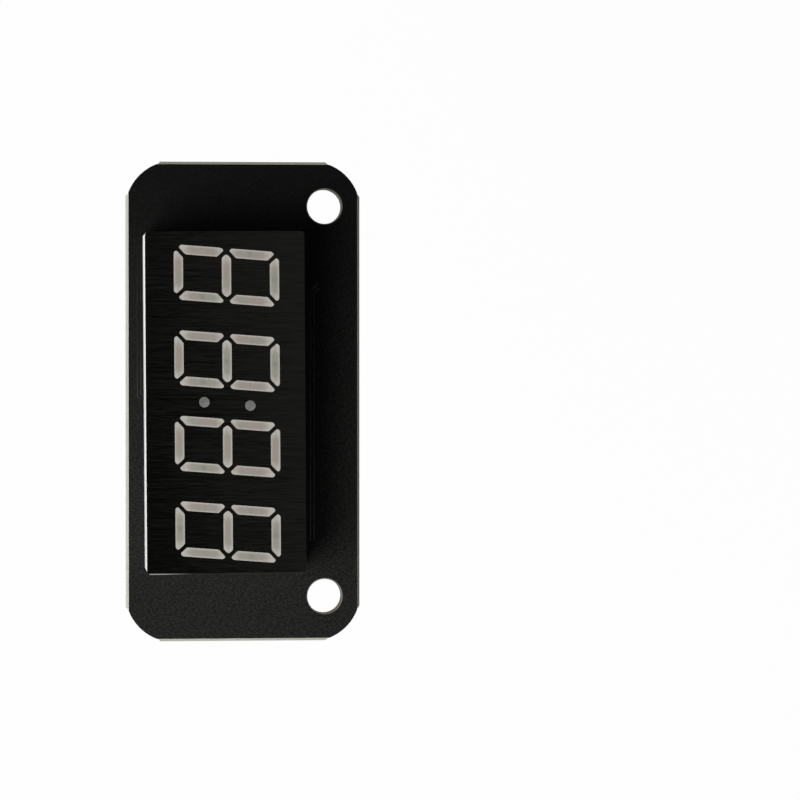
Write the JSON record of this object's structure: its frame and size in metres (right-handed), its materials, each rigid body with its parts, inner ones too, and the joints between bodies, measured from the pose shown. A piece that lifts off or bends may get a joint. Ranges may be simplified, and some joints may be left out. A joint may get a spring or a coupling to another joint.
{
  "type": "seven segment display module",
  "caption": "Clock style numeric display on a small black circuit board, with mounting holes, a driver chip and a keyed wire socket on its back.",
  "frame": {"origin": "midway between the two mounting holes, on the front face of the circuit board", "axes": "+X towards the board edge beside the mounting holes, +Y along the board towards the driver chip's end, +Z out of the board towards the display's face"},
  "size_m": [0.021, 0.043, 0.0148],
  "materials": {
    "board_mask": "black solder mask, satin, on glass laminate",
    "tinned_copper": "tinned pads, slightly uneven",
    "white_moulding": "white moulded plastic",
    "black_film": "black film with a fine lengthwise grain",
    "bar_resin": "milky cast resin, unlit, warm grey",
    "dot_resin": "milky cast resin, unlit, darker grey",
    "inner_laminate": "bare glass laminate",
    "light_chip": "small light emitting dies",
    "cast_resin": "cast resin, glossy",
    "pin_wire": "tinned wire, cut ends",
    "solder": "bright solder with a mottled skin",
    "chip_mould": "black moulding compound, fine grained",
    "chip_lead": "tinned leads",
    "ivory_plastic": "ivory moulded plastic",
    "contact_metal": "tinned contact metal",
    "resistor_coat": "black glass coat",
    "chip_end_metal": "tinned chip ends",
    "capacitor_ceramic": "tan fired ceramic",
    "light_base": "white base",
    "light_lens": "clear pale lens"
  },
  "bodies": {
    "root": {"circuit_board": "board_mask", "mounting_pads": "tinned_copper", "pin_barrels": "tinned_copper", "driver_pads": "tinned_copper", "socket_pads": "tinned_copper", "chip_pads": "tinned_copper", "marker_ring": "tinned_copper", "display_housing": "white_moulding", "display_film": "black_film", "digit_1_bars": "bar_resin", "digit_2_bars": "bar_resin", "digit_3_bars": "bar_resin", "digit_4_bars": "bar_resin", "colon_dots": "dot_resin", "inner_board": "inner_laminate", "light_chips": "light_chip", "cast_resin": "cast_resin", "display_pins": "pin_wire", "pin_solder": "solder", "driver_body": "chip_mould", "driver_leads": "chip_lead", "driver_solder": "solder", "socket_housing": "ivory_plastic", "socket_pins": "contact_metal", "socket_anchors": "contact_metal", "socket_solder": "solder", "resistor_bodies": "resistor_coat", "resistor_ends": "chip_end_metal", "capacitor_bodies": "capacitor_ceramic", "capacitor_ends": "chip_end_metal", "power_light_base": "light_base", "power_light_lens": "light_lens", "power_light_ends": "chip_end_metal", "chip_solder": "solder"}
  },
  "joints": []
}
